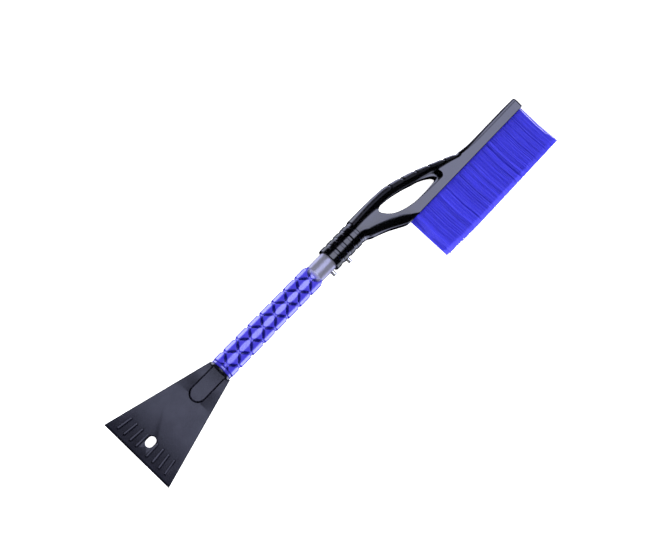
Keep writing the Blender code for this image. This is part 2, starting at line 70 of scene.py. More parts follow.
BLADE_HALF = (BLADE_HIGH.y - BLADE_LOW.y) / 2
TUBE_RADIUS = (TUBE_HIGH.z - TUBE_LOW.z) / 2
TUBE_START = TUBE_LOW.x - ORIGIN.x
TUBE_END = TUBE_HIGH.x - ORIGIN.x
GRIP_RADIUS = (GRIP_HIGH.z - GRIP_LOW.z) / 2
GRIP_START = GRIP_LOW.x - ORIGIN.x
GRIP_END = GRIP_HIGH.x - ORIGIN.x
HEAD_START = HEAD_LOW.x - ORIGIN.x
HEAD_END = HEAD_HIGH.x - ORIGIN.x
BAR_UNDERSIDE = HEAD_LOW.y - ORIGIN.y
RELEASE_X = (RELEASE_LOW.x + RELEASE_HIGH.x) / 2 - ORIGIN.x
RELEASE_TIP = ORIGIN.y - RELEASE_LOW.y
LOCK_X = (LOCK_LOW.x + LOCK_HIGH.x) / 2 - ORIGIN.x
LOCK_TIP = ORIGIN.y - LOCK_LOW.y
BRISTLE_TIP = BRISTLE_LOW.y - ORIGIN.y

# Points closer than this are one after a Boolean
JOIN_DISTANCE = 0.00001

# Blade
SHOULDER_X = GRIP_START - 0.0006
SHOULDER_HALF = 0.0157
EDGE_THICKNESS = 0.0010
EDGE_BEVEL = 0.0024
PLATE_THICKNESS = 0.0040
ROOT_THICKNESS = 0.0064
SIDE_ROUND = 0.0009
RIB_OFFSETS = (0.0085, 0.0183, 0.0283, 0.0383)
RIB_START = 0.0062
RIB_END = 0.0275
RIB_FAN = 0.24
RIB_HALF = 0.0019
RIB_HEIGHT = 0.0014
RIB_SHIFT = 0.5
RIB_TILT = 0.018
RIB_LEVELS = ((-0.4, 0.0), (0.25, 0.04), (0.70, 0.26), (0.93, 0.46), (1.0, 0.60))
HOLE_X = 0.0226
HOLE_LENGTH = 0.0140
HOLE_WIDTH = 0.0100
HOLE_ROUND = 0.0008
TONGUE_NOSE = 0.0873
TONGUE_HALF = 0.0115
TONGUE_NOSE_HEIGHT = 0.0085
TONGUE_BACK_HEIGHT = 0.0091
TONGUE_DRAFT = 0.0026
TONGUE_ROUND = 0.0005
NOSE_SHARE = 0.5
FLANGE_RADIUS = 0.0147
FLANGE_LENGTH = 0.0026
FLANGE_ROUND = 0.0006
FLANGE_OVERLAP = 0.0003
SPIGOT_RADIUS = 0.0112
SPIGOT_LENGTH = 0.0420
SPIGOT_CHAMFER = 0.002

# Grip
CROSS_FIRST = 0.1436
CROSS_PITCH = 0.02048
LINE_TURN = 52.0
LINE_DEPTH = 0.0005
LINE_WALL = (0.0002, 0.0011)
LEAF_OPENS = (6.0, 16.0)
LEAF_CLOSES = (33.0, 49.0)
LEAF_HALF = 0.0021
LEAF_WALL = (0.0007, 0.0003)
LEAF_SLIVER = 0.0006
LEAF_DEPTH = 0.0013
GAP_HALF = 0.0023
GAP_DEPTH = 0.0013
GAP_WALL = (0.0007, 0.0002)
GAP_OPENS = (LINE_TURN, LINE_TURN + 12.0)
END_RING = 0.0040
GRIP_COLUMNS = 380
GRIP_AROUND = 200
GRIP_INNER = TUBE_RADIUS + 0.0002
GRIP_THIN = 0.0002
RING_DIP = 0.0006
RING_LINE = 0.0005
# Painted shade on the grip's end ring and on the groove line past it, as a share of the navy
PAINTED_RING_SHADE = 0.35
PAINTED_RING_LINE_SHADE = 0.8
START_ROUND = 0.0008
END_ROUND = 0.0010
END_DROP = 0.0007
TAPER_LENGTH = 0.0062
FADE_LENGTH = 0.0085
FADE_MOST = 0.85

# Head
COLLAR_RADIUS = 0.0158
COLLAR_LIP = 0.0007
GROOVES = 4
GROOVE_FIRST = 0.3350
GROOVE_PITCH = 0.0120
GROOVE_LENGTH = 0.0056
GROOVE_DEPTH = 0.0008
GROOVE_WALL = 0.0009
NECK_X = 0.3738
NECK_BLEND = 0.0120
NECK_LEAD = 0.0006
WALL_STEP = 0.00015
COLLAR_STEP = 0.0008
NECK_STEP = 0.0006
HEAD_STEP = 0.0012
BAR_END_ROUND = 0.0030
SOCKET_RADIUS = TUBE_RADIUS + 0.0003
SOCKET_END = 0.3940
PAD_THICKNESS = 0.0018
PAD_END = 0.5400
STRIP_START = 0.3750
STRIP_WRAP = 0.42
STRIP_STEPS = 10
NOTCH_HALF = 0.0022
NOTCH_STEEP = 1.8
NOTCH_DEPTH = 0.0017
STRIP_STATIONS = 660
PAD_NOTCHES = (0.4467, 0.4656, 0.4847, 0.5019, 0.5213)
TOP_EDGE = (
    (0.3700, 0.0164), (0.3900, 0.0165), (0.4094, 0.0163), (0.4227, 0.0160), (0.4360, 0.0152),
    (0.4467, 0.0137), (0.4656, 0.0089), (0.4847, 0.0028), (0.5019, -0.0043), (0.5213, -0.0127),
    (0.5400, -0.0203), (0.5526, -0.0226), (0.5667, -0.0236), (0.6023, -0.0237), (0.6600, -0.0234),
)
UNDER_EDGE = (
    (0.3600, -0.0158), (0.3701, -0.0163), (0.3831, -0.0193), (0.3962, -0.0233), (0.4094, -0.0286),
    (0.4227, -0.0353), (0.4320, -0.0393), (0.4420, -0.0393), (0.6600, -0.0393),
)
THICKNESS = ((0.3700, 0.0154), (0.4100, 0.0154), (0.4500, 0.0162), (0.5600, 0.0170))
TOP_ACROSS = (
    (0.3740, 0.0142), (0.3900, 0.0145), (0.4100, 0.0165), (0.4300, 0.0210), (0.4500, 0.0240),
    (0.4760, 0.0232), (0.4920, 0.0195), (0.5100, 0.0130), (0.5300, 0.0080),
    (0.5600, 0.0042), (0.5900, 0.0022),
)
TOP_THROUGH = (
    (0.3740, 0.0149), (0.3900, 0.0134), (0.4100, 0.0120), (0.4300, 0.0128), (0.4500, 0.0136),
    (0.4760, 0.0132), (0.4920, 0.0115), (0.5100, 0.0082), (0.5300, 0.0055),
    (0.5600, 0.0036), (0.5900, 0.0021),
)
UNDER_ACROSS = (
    (0.3740, 0.0150), (0.3900, 0.0158), (0.4100, 0.0162), (0.4250, 0.0155), (0.4310, 0.0135),
    (0.4390, 0.0070), (0.4465, 0.0010), (0.4520, 0.0009),
)
UNDER_THROUGH = (
    (0.3740, 0.0149), (0.3900, 0.0125), (0.4100, 0.0095), (0.4310, 0.0080), (0.4390, 0.0050),
    (0.4465, 0.0010), (0.4520, 0.0009),
)
END_SHARE = 0.30
RIM_START = 0.5450
RIM_IN = 0.0042
RIM_LINE = 0.0009
RIM_DEPTH = 0.0009
RIM_STATIONS = 70
OPENING = (
    (0.4108, -0.0034), (0.4172, 0.0015), (0.4360, 0.0010), (0.4560, -0.0027), (0.4760, -0.0085),
    (0.4920, -0.0155), (0.4996, -0.0217), (0.4965, -0.0255), (0.4630, -0.0260), (0.4395, -0.0228),
    (0.4215, -0.0157),
)
OPENING_LEDGE = (
    0.0002, 0.0002, 0.0002, 0.0002, 0.0002, 0.0030, 0.0062, 0.0022, 0.0002, 0.0002, 0.0002,
)
OPENING_RIM = 0.0009
LEDGE_HEIGHT = 0.0068
LEDGE_DROP = 0.0080

# Buttons: the foot and stem as (distance from the tube's axis, radius), then the dome
BUTTON_STEM = ((0.0091, 0.0), (0.0091, 0.0022), (0.0097, 0.0022), (0.0097, 0.0012), (0.0108, 0.0012))
BUTTON_RADIUS = 0.0028
BUTTON_DOME = 0.0016
BUTTON_TURN = 0.0013
SLOT_LENGTH = 0.0080
SLOT_WIDTH = 0.0063
SLOT_SHIFT = 0.0004

# Clip
CLIP_END = 0.3520
CLIP_BEND_X = 0.2744
CLIP_OUT = 0.01025
CLIP_TURN = 0.0016
CLIP_WIDTH = 0.0080
CLIP_THICKNESS = 0.0005

# Brush
ROWS = 4
ROW_PITCH = 0.0072
TUFTS = 22
TUFT_PITCH = 0.0094
FIRST_TUFT = 0.4468
HOLE_RADIUS = 0.0022
HOLE_DEPTH = 0.0060
POCKET_HALF = 0.0145
POCKET_DEPTH = 0.0030
NEAR_ROOT = 0.4406
NEAR_TIP = 0.4428
FAR_ROOT = 0.6506
FAR_TIP = 0.6529
FILAMENTS = 56
FILAMENT_RADIUS = 0.00030
TIP_FLARE = 1.25
TUFT_SPREAD = 0.0017
FAN_ALONG = 1.12
FAN_THROUGH = 0.52
ROOT_SHARE = 0.8
STRAY = 0.0003
TIP_CLEAR = 0.0002
TIP_SPREAD = 0.0007
TIP_BAND = 0.0070
RAGGED_SPAN = (0.455, 0.500)
RAGGED_TUFT = 0.0022
RAGGED_FILAMENT = 0.0012
STREAK = 0.30
STREAK_TURN = 2600.0
DULL_TIP_SPAN = (0.54, 0.62)
DULL_TIP = 0.35
SEED = 7


# ---- mesh helpers

def smooth_height(points, x):
    """The height at x of a smooth curve through (x, height) points, level past its ends."""
    if x <= points[0][0]:
        return points[0][1]
    if x >= points[-1][0]:
        return points[-1][1]
    i = max(k for k in range(len(points) - 1) if points[k][0] <= x)

    def slope(k):
        low = max(k - 1, 0)
        high = min(k + 1, len(points) - 1)
        return (points[high][1] - points[low][1]) / (points[high][0] - points[low][0])

    span = points[i + 1][0] - points[i][0]
    t = (x - points[i][0]) / span
    return (
        (2 * t**3 - 3 * t**2 + 1) * points[i][1]
        + (t**3 - 2 * t**2 + t) * span * slope(i)
        + (3 * t**2 - 2 * t**3) * points[i + 1][1]
        + (t**3 - t**2) * span * slope(i + 1)
    )


def ease(low, high, value):
    """0 below low, 1 above high and a smooth step between them."""
    t = min(1.0, max(0.0, (value - low) / (high - low)))
    return t * t * (3 - 2 * t)


def catmull(points, steps):
    """A closed Catmull-Rom curve through points of any dimension, as vectors."""
    count = len(points)
    made = []
    for i in range(count):
        p0, p1, p2, p3 = (Vector(points[(i + k - 1) % count]) for k in range(4))
        for k in range(steps):
            t = k / steps
            made.append(0.5 * (2 * p1 + (p2 - p0) * t + (2 * p0 - 5 * p1 + 4 * p2 - p3) * t**2
                               + (3 * p1 - p0 - 3 * p2 + p3) * t**3))
    return made


def stadium(length, width, steps):
    """The outline of a slot with round ends, its length along the first coordinate."""
    radius = width / 2
    straight = length / 2 - radius
    points = []
    for end, start in ((1, -math.pi / 2), (-1, math.pi / 2)):
        for i in range(steps + 1):
            angle = start + math.pi * i / steps
            points.append((end * straight + radius * math.cos(angle), radius * math.sin(angle)))
    return points


def join_rings(bm, rings):
    """Puts faces between neighbouring closed rings of mesh points."""
    count = len(rings[0])
    for one, two in zip(rings, rings[1:]):
        for i in range(count):
            j = (i + 1) % count
            bm.faces.new((one[i], one[j], two[j], two[i]))


def skin(bm, rings):
    """Skins closed rings of places, equal in length, and caps both ends."""
    made = [[bm.verts.new(point) for point in ring] for ring in rings]
    join_rings(bm, made)
    bm.faces.new(made[0])
    bm.faces.new(made[-1])


def to_mesh(bm, name, sharp=35.0):
    """A smooth-shaded mesh, with edges sharper than the angle in degrees left sharp."""
    bmesh.ops.remove_doubles(bm, verts=bm.verts, dist=1e-7)
    bmesh.ops.recalc_face_normals(bm, faces=bm.faces)
    mesh = bpy.data.meshes.new(name)
    bm.to_mesh(mesh)
    bm.free()
    mesh.shade_smooth()
    mesh.set_sharp_from_angle(angle=math.radians(sharp))
    return mesh


def lofted(name, rings, sharp=35.0):
    """A closed mesh through rings of places."""
    bm = bmesh.new()
    skin(bm, rings)
    return to_mesh(bm, name, sharp)


def turned(name, outline, steps=96, axis="X", sharp=35.0):
    """An outline of (distance along the axis, radius) spun about it, closed if it starts off the axis."""
    bm = bmesh.new()
    verts = [bm.verts.new((along, 0.0, radius)) for along, radius in outline]
    count = len(verts)
    on_axis = outline[0][1] == 0.0
    edges = [bm.edges.new((verts[i], verts[(i + 1) % count])) for i in range(count - on_axis)]
    bmesh.ops.spin(
        bm, geom=verts + edges, cent=(0, 0, 0), axis=(1, 0, 0), angle=math.tau, steps=steps, use_merge=True
    )
    if axis == "Y":
        bmesh.ops.rotate(bm, verts=bm.verts, cent=(0, 0, 0), matrix=Matrix.Rotation(-math.pi / 2, 3, "Z"))
    return to_mesh(bm, name, sharp)


def arc(centre, radius, start, end, steps):
    """Points on an arc, angles in degrees."""
    points = []
    for i in range(steps + 1):
        angle = math.radians(start + (end - start) * i / steps)
        points.append((centre[0] + radius * math.cos(angle), centre[1] + radius * math.sin(angle)))
    return points


def placed(name, data):
    """A new object in the scene."""
    made = bpy.data.objects.new(name, data)
    bpy.context.scene.collection.objects.link(made)
    return made


def cut(mesh, others, operation, sharp=35.0):
    """The mesh after an exact Boolean with each of the others, (x, y, z) offsets included."""
    target = placed("work", mesh)
    helpers = []
    for other, offset in others:
        helper = placed("work_other", other)
        helper.location = offset
        helpers.append(helper)
        modifier = target.modifiers.new("cut", "BOOLEAN")
        modifier.object = helper
        modifier.operation = operation
        modifier.solver = "EXACT"
    made = evaluated(target, mesh.name)
    for item in [target, *helpers]:
        bpy.data.objects.remove(item)
    join_close_points(made)
    made.shade_smooth()
    made.set_sharp_from_angle(angle=math.radians(sharp))
    return made


def join_close_points(mesh):
    """Joins the nearly equal points that a Boolean leaves and drops the slivers between them."""
    bm = bmesh.new()
    bm.from_mesh(mesh)
    bmesh.ops.remove_doubles(bm, verts=bm.verts, dist=JOIN_DISTANCE)
    bmesh.ops.dissolve_degenerate(bm, edges=bm.edges, dist=JOIN_DISTANCE)
    bmesh.ops.triangulate(bm, faces=bm.faces, quad_method="BEAUTY", ngon_method="BEAUTY")
    bmesh.ops.dissolve_degenerate(bm, edges=bm.edges, dist=JOIN_DISTANCE)
    bm.to_mesh(mesh)
    bm.free()


def evaluated(target, name):
    """The object's mesh with its modifiers applied."""
    bpy.context.view_layer.update()
    made = bpy.data.meshes.new_from_object(target.evaluated_get(bpy.context.evaluated_depsgraph_get()))
    made.name = name
    return made


def level_flats(mesh, weight=100):
    """Takes each corner's shading from its larger faces, so that flats next to roundings look flat."""
    target = placed("work", mesh)
    modifier = target.modifiers.new("weigh", "WEIGHTED_NORMAL")
    modifier.keep_sharp = True
    modifier.weight = weight
    made = evaluated(target, mesh.name)
    bpy.data.objects.remove(target)
    return made


def add_piece(name, mesh, material, body, replaces=(), offset=(0.0, 0.0, 0.0)):
    """Puts a mesh made in the tool's frame in its place, ties it to its CAD body and hides the CAD nodes it
    replaces.
    """
    mesh.transform(Matrix.Translation(ORIGIN + Vector(offset)))
    mesh.materials.clear()
    mesh.materials.append(material)
    piece = placed(name, mesh)
    if body:
        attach(piece, body)
    if replaces:
        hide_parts(*replaces)
    return piece


# ---- materials

class Nodes:
    """Short ways to add to a node tree, where an input takes a plain value or another node's socket."""

    def __init__(self, tree):
        self.tree = tree

    def node(self, kind, inputs=None, **settings):
        made = self.tree.nodes.new(kind)
        for key, value in settings.items():
            setattr(made, key, value)
        for key, value in (inputs or {}).items():
            self.feed(made.inputs[key], value)
        return made

    def feed(self, socket, value):
        if isinstance(value, bpy.types.NodeSocket):
            self.tree.links.new(value, socket)
        else:
            socket.default_value = value

    def mix(self, factor, one, two):
        made = self.node("ShaderNodeMix", data_type="RGBA")
        colour = [s for s in made.inputs if s.type == "RGBA"]
        self.feed(made.inputs[0], factor)
        self.feed(colour[0], one if isinstance(one, bpy.types.NodeSocket) else (*one, 1.0))
        self.feed(colour[1], two if isinstance(two, bpy.types.NodeSocket) else (*two, 1.0))
        return [s for s in made.outputs if s.type == "RGBA"][0]

    def maths(self, operation, *values):
        return self.node("ShaderNodeMath", dict(enumerate(values)), operation=operation).outputs[0]


class Finish(Nodes):
    """A material whose shader sockets are fed by small chains of procedural nodes."""

    def __init__(self, name, roughness=0.5, metallic=0.0, ior=1.5):
        self.material = bpy.data.materials.new(name)
        self.material.use_nodes = True
        super().__init__(self.material.node_tree)
        self.shader = self.tree.nodes["Principled BSDF"]
        self.shader.inputs["Roughness"].default_value = roughness
        self.shader.inputs["Metallic"].default_value = metallic
        self.shader.inputs["IOR"].default_value = ior
        self.place = self.node("ShaderNodeTexCoord").outputs["Object"]

    def stretched(self, scale):
        return self.node("ShaderNodeMapping", {"Vector": self.place, "Scale": scale}).outputs["Vector"]

    def noise(self, scale, detail, place=None):
        return self.node("ShaderNodeTexNoise", {
            "Vector": place or self.place, "Scale": scale, "Detail": detail,
        }).outputs["Fac"]

    def span(self, value, low, high, to_low=0.0, to_high=1.0):
        """The value carried from low..high to to_low..to_high, and held at those ends."""
        return self.node("ShaderNodeMapRange", {
            "Value": value, "From Min": low, "From Max": high, "To Min": to_low, "To Max": to_high,
        }).outputs["Result"]

    def attribute(self, name):
        return self.node("ShaderNodeAttribute", attribute_name=name).outputs["Fac"]

    def edges(self, radius):
        """1 along the convex and concave edges, 0 on flat stretches."""
        round_normal = self.node("ShaderNodeBevel", {"Radius": radius}, samples=4).outputs["Normal"]
        true_normal = self.node("ShaderNodeNewGeometry").outputs["Normal"]
        dot = self.node("ShaderNodeVectorMath", {0: round_normal, 1: true_normal}, operation="DOT_PRODUCT")
        return self.span(dot.outputs["Value"], 0.995, 0.90)

    def colour(self, value):
        self.feed(self.shader.inputs["Base Color"], value)

    def roughness(self, value):
        self.feed(self.shader.inputs["Roughness"], value)

    def bump(self, height, distance):
        made = self.node("ShaderNodeBump", {"Height": height, "Distance": distance, "Strength": 1.0})
        self.feed(self.shader.inputs["Normal"], made.outputs["Normal"])


def moulded_plastic(name, dark, light, worn, roughness, ior, grain_depth=0.00002, wear=0.5):
    """Injection moulded plastic: faint flow marks, fine grain, and edges rubbed a little lighter."""
    made = Finish(name, ior=ior)
    flow = made.span(made.noise(28.0, 3.0), 0.3, 0.7)
    base = made.mix(flow, dark, light)
    edges = made.edges(0.0006)
    patches = made.span(made.noise(210.0, 4.0), 0.42, 0.62, 0.0, wear)
    rubbed = made.maths("MULTIPLY", edges, patches)
    made.colour(made.mix(rubbed, base, worn))
    smear = made.noise(55.0, 5.0)
    made.roughness(made.span(smear, 0.25, 0.75, roughness - 0.03, roughness + 0.05))
    made.bump(made.noise(2600.0, 2.0), grain_depth)
    return made.material


def brushed_metal(name, colour, roughness, metallic=1.0, fine=(60.0, 5200.0, 5200.0)):
    """Drawn metal, its fine lines running along the tool."""
    made = Finish(name, metallic=metallic)
    lines = made.noise(1.0, 3.0, made.stretched(fine))
    haze = made.noise(45.0, 3.0)
    low = tuple(c * 0.93 for c in colour)
    high = tuple(min(1.0, c * 1.05) for c in colour)
    made.colour(made.mix(made.span(haze, 0.3, 0.7), low, high))
    made.roughness(made.span(lines, 0.25, 0.75, roughness - 0.06, roughness + 0.06))
    made.bump(lines, 0.000008)
    return made.material


def grip_rubber():
    """Soft blue grip with painted shade: navy painted down in the cuts, and pale where it thins over the tube
    at its upper end.
    """
    made = Finish("grip_blue", ior=2.05)
    cloud = made.span(made.noise(120.0, 3.0), 0.3, 0.7)
    blue = made.mix(cloud, (0.030, 0.024, 0.42), (0.044, 0.036, 0.48))
    deep = made.attribute("cut")
    # Painted shade: the cut attribute mixes the blue towards navy in the cut pockets, on the end ring and
    # along its groove line
    blue_with_painted_cut_shade = made.mix(deep, blue, (0.0, 0.0, 0.11))
    fade = made.attribute("fade")
    made.colour(made.mix(fade, blue_with_painted_cut_shade, (0.26, 0.26, 0.36)))
    made.roughness(made.span(made.noise(300.0, 4.0), 0.25, 0.75, 0.12, 0.20))
    made.bump(made.noise(3200.0, 2.0), 0.00002)
    return made.material


def bristle_plastic():
    """Blue filaments: streaked from one to the next, and paler and duller at the tips."""
    made = Finish("bristle_blue", ior=1.45)
    shade = made.attribute("shade")
    tip = made.attribute("tip")
    blue = made.mix(shade, (0.036, 0.032, 0.64), (0.054, 0.050, 0.82))
    tint = made.mix(made.span(made.noise(900.0, 2.0), 0.3, 0.7), blue, (0.044, 0.040, 0.74))
    made.colour(made.mix(tip, tint, (0.10, 0.095, 0.88)))
    made.roughness(made.span(tip, 0.0, 1.0, 0.45, 0.75))
    made.bump(made.noise(4000.0, 1.0), 0.00001)
    return made.material


BLADE_FINISH = moulded_plastic(
    "blade_plastic", (0.0030, 0.0032, 0.0062), (0.0042, 0.0045, 0.0085), (0.02, 0.02, 0.03), 0.075, 1.58,
    grain_depth=0.000005, wear=0.3,
)
HEAD_FINISH = moulded_plastic(
    "head_gloss", (0.0006, 0.0006, 0.0008), (0.0010, 0.0010, 0.0015), (0.006, 0.006, 0.008), 0.15, 1.66,
    grain_depth=0.000001, wear=0.06,
)
STRIP_FINISH = moulded_plastic(
    "strip_rubber", (0.002, 0.002, 0.003), (0.003, 0.003, 0.005), (0.015, 0.015, 0.018), 0.17, 1.75,
    grain_depth=0.000008,
)
TUBE_FINISH = brushed_metal("tube_aluminium", (0.25, 0.25, 0.33), 0.36, 0.55)
STEEL_FINISH = brushed_metal("spring_steel", (0.45, 0.45, 0.46), 0.30)
BUTTON_FINISH = brushed_metal("button_plating", (0.86, 0.86, 0.88), 0.20, 0.85, (900.0, 900.0, 900.0))
GRIP_FINISH = grip_rubber()
BRISTLE_FINISH = bristle_plastic()


# ---- scraper blade

def plate_ring(x):
    """The blade plate's section at x: a flat strip with rounded side edges."""
    share = x / SHOULDER_X
    half = BLADE_HALF + (SHOULDER_HALF - BLADE_HALF) * share
    if x < EDGE_BEVEL:
        thick = EDGE_THICKNESS + (PLATE_THICKNESS - EDGE_THICKNESS) * x / EDGE_BEVEL
    else:
        thick = PLATE_THICKNESS + (ROOT_THICKNESS - PLATE_THICKNESS) * ease(0.60, 1.0, share)
    low = -thick / 2
    high = thick / 2
    turn = min(SIDE_ROUND, thick * 0.45)
    ring = []
    for y, z, start in (
        (-half + turn, low + turn, 180), (half - turn, low + turn, 270),
        (half - turn, high - turn, 0), (-half + turn, high - turn, 90),
    ):
        ring += [(x, py, pz) for py, pz in arc((y, z), turn, start, start + 90, 4)]
    return ring


def rib_meshes():
    """Raised bars with round ends, four each side of the hole, with tilted tops set to the +Y side."""
    bm = bmesh.new()
    base = PLATE_THICKNESS / 2
    length = RIB_END - RIB_START
    middle_x = (RIB_START + RIB_END) / 2
    for side in (-1, 1):
        for offset in RIB_OFFSETS:
            y = side * offset
            turn = -math.atan2(y, RIB_FAN)
            middle_y = y * (1 - middle_x / RIB_FAN)
            rings = []
            for rise, shrink in RIB_LEVELS:
                inset = shrink * RIB_HALF
                ring = []
                for px, py in stadium(length - 2 * inset, 2 * (RIB_HALF - inset), 10):
                    py += RIB_SHIFT * inset
                    z = base + rise * RIB_HEIGHT - RIB_TILT * px * max(rise, 0.0)
                    ring.append((
                        middle_x + px * math.cos(turn) - py * math.sin(turn),
                        middle_y + px * math.sin(turn) + py * math.cos(turn),
                        z,
                    ))
                rings.append(ring)
            skin(bm, rings)
    return to_mesh(bm, "ribs")


def tongue_ring(side, drop, inset):
    """One level of the tongue: a long tab with a round nose, its height growing towards the grip."""
    radius = TONGUE_HALF - inset
    centre = TONGUE_NOSE + TONGUE_HALF - NOSE_SHARE * inset
    back = SHOULDER_X - FLANGE_LENGTH / 2
    outline = [(back, radius)] + arc((centre, 0.0), radius, 90, 270, 24) + [(back, -radius)]
    ring = []
    for x, y in outline:
        rise = (x - TONGUE_NOSE) / (back - TONGUE_NOSE)
        height = TONGUE_NOSE_HEIGHT + (TONGUE_BACK_HEIGHT - TONGUE_NOSE_HEIGHT) * rise
        ring.append((x, y, side * (height - drop)))
    return ring


def tongue_mesh():
    """The tab on both faces: drafted walls from the middle plane, and a rounded edge round a flat top."""
    rings = []
    for side in (-1, 1):
        levels = []
        for angle in (0, 30, 60, 90):
            drop = TONGUE_ROUND * (1 - math.sin(math.radians(angle)))
            inset = TONGUE_DRAFT + TONGUE_ROUND * (1 - math.cos(math.radians(angle)))
            levels.append(tongue_ring(side, drop, inset))
        if side < 0:
            rings = levels[::-1] + [tongue_ring(0, 0.0, 0.0)]
        else:
            rings += levels
    return lofted("tongue", rings)


def spigot_mesh():
    """The flange at the tube's end, rounded at its front edge, and the plug that goes into the tube."""
    start = SHOULDER_X - FLANGE_LENGTH
    end = SHOULDER_X + SPIGOT_LENGTH
    step = SHOULDER_X + FLANGE_OVERLAP
    outline = [(start, 0.0)]
    for angle in (0.0, math.pi / 4, math.pi / 2):
        along = start + FLANGE_ROUND - FLANGE_ROUND * math.cos(angle)
        outline.append((along, FLANGE_RADIUS - FLANGE_ROUND + FLANGE_ROUND * math.sin(angle)))
    outline += [(step, FLANGE_RADIUS), (step, SPIGOT_RADIUS), (end - SPIGOT_CHAMFER, SPIGOT_RADIUS)]
    outline += [(end, SPIGOT_RADIUS - SPIGOT_CHAMFER), (end, 0.0)]
    return turned("spigot", outline)


def hanging_hole():
    """A slot cutter that widens towards both faces of the plate."""
    half = PLATE_THICKNESS / 2
    rings = []
    for z in (-0.01, -half, -half + 0.3 * HOLE_ROUND, -half + HOLE_ROUND, half - HOLE_ROUND,
              half - 0.3 * HOLE_ROUND, half, 0.01):
        depth = max(0.0, min(1.0, (abs(z) - half + HOLE_ROUND) / HOLE_ROUND))
        grow = HOLE_ROUND * (1 - math.sqrt(1 - depth ** 2))
        outline = stadium(HOLE_LENGTH + 2 * grow, HOLE_WIDTH + 2 * grow, 16)
        rings.append([(HOLE_X + x, y, z) for x, y in outline])
    return lofted("hanging_hole", rings)


def build_blade():
    stations = [0.0, EDGE_BEVEL] + [SHOULDER_X * share for share in (0.60, 0.68, 0.76, 0.84, 0.92, 1.0)]
    plate = lofted("ice_blade", [plate_ring(x) for x in stations])
    raised = [(mesh, (0, 0, 0)) for mesh in (tongue_mesh(), spigot_mesh(), rib_meshes())]
    joined = cut(plate, raised, "UNION")
    blade = level_flats(cut(joined, [(hanging_hole(), (0, 0, 0))], "DIFFERENCE", 28.0))
    return add_piece("ice_blade", blade, BLADE_FINISH, "handle", ["scraper_head"])


# ---- tube and grip

def stadium_prism(length, width, low, high):
    """A slot cutter that runs along Y, its length along X."""
    outline = stadium(length, width, 16)
    return lofted("slot", [[(x, y, z) for x, z in outline] for y in (low, high)])


def build_tube():
    inner = TUBE_RADIUS - 0.0010
    lip = 0.0002
    outline = (
        (TUBE_START, inner), (TUBE_START, TUBE_RADIUS), (TUBE_END - lip, TUBE_RADIUS),
        (TUBE_END, TUBE_RADIUS - lip), (TUBE_END, inner),
    )
    tube = turned("aluminium_tube", outline, 128)
    slots = [
        (stadium_prism(SLOT_LENGTH, SLOT_WIDTH, -0.018, -0.008), (x + SLOT_SHIFT, 0, 0))
        for x in (RELEASE_X, LOCK_X)
    ]
    tube = cut(tube, slots, "DIFFERENCE")
    return add_piece("aluminium_tube", tube, TUBE_FINISH, "handle", ["handle_tube"])


def cut_place(x, angle):
    """Distance from the nearest cut's middle line, and the place round the grip folded to 0 to 90 degrees.

    Each cut runs straight from a crossing on the top line to half a pitch along at LINE_TURN, goes on from
    there round the side, and meets its mirror image underneath.
    """
    turn = abs(math.degrees(math.atan2(math.sin(angle), math.cos(angle))))
    turn = min(turn, 180.0 - turn)
    offset = CROSS_PITCH / 2 * min(turn / LINE_TURN, 1.0)
    across = 1.0
    if turn < LINE_TURN:
        across = 1 / math.hypot(1.0, CROSS_PITCH / 2 / (GRIP_RADIUS * math.radians(LINE_TURN)))
    nearest = CROSS_PITCH
    for hand in (-1, 1):
        phase = (x - CROSS_FIRST - hand * offset) / CROSS_PITCH
        nearest = min(nearest, abs(phase - round(phase)) * CROSS_PITCH * across)
    return nearest, turn


def cut_depths(x, angle):
    """How far the surface dips at a place on the grip, and how much painted navy shade it gets from lying in
    a cut's pocket.
    """
    nearest, turn = cut_place(x, angle)
    line = 1 - ease(*LINE_WALL, nearest)
    half = LEAF_HALF * ease(*LEAF_OPENS, turn) * (1 - ease(*LEAF_CLOSES, turn))
    pocket = 1 - ease(half - LEAF_WALL[0], half + LEAF_WALL[1], nearest)
    pocket *= min(1.0, half / LEAF_SLIVER)
    gap = 1 - ease(GAP_HALF - GAP_WALL[0], GAP_HALF + GAP_WALL[1], nearest)
    gap *= ease(*GAP_OPENS, turn)
    dip = max(LINE_DEPTH * line, LEAF_DEPTH * pocket, GAP_DEPTH * gap)
    return dip, pocket


def grip_surface(x, angle):
    """The grip's radius at a place, how much painted navy shade it gets and how pale its thin end makes it.
    """
    from_start = x - GRIP_START
    to_end = GRIP_END - x
    dip, pocket = cut_depths(x, angle)
    bare = 1 - ease(0.55, 0.80, abs(math.sin(angle)))
    if from_start < END_RING:
        dip = RING_DIP + RING_DIP * (1 - ease(0.0, START_ROUND, from_start))
        # The whole end ring gets painted shade
        pocket = PAINTED_RING_SHADE
    # The groove past the end ring dips and is painted with a line of shade
    ring_line = math.exp(-((from_start - END_RING) / RING_LINE) ** 2)
    dip += RING_DIP * ring_line + END_DROP * (1 - ease(0.0, END_ROUND, to_end))
    dip += (GRIP_RADIUS - GRIP_INNER - GRIP_THIN) * (1 - ease(0.0, TAPER_LENGTH, to_end)) * bare
    radius = max(GRIP_RADIUS - dip, GRIP_INNER + GRIP_THIN / 2)
    fade = FADE_MOST * (1 - ease(0.0, FADE_LENGTH, to_end)) * bare
    return radius, max(pocket, PAINTED_RING_LINE_SHADE * ring_line), fade


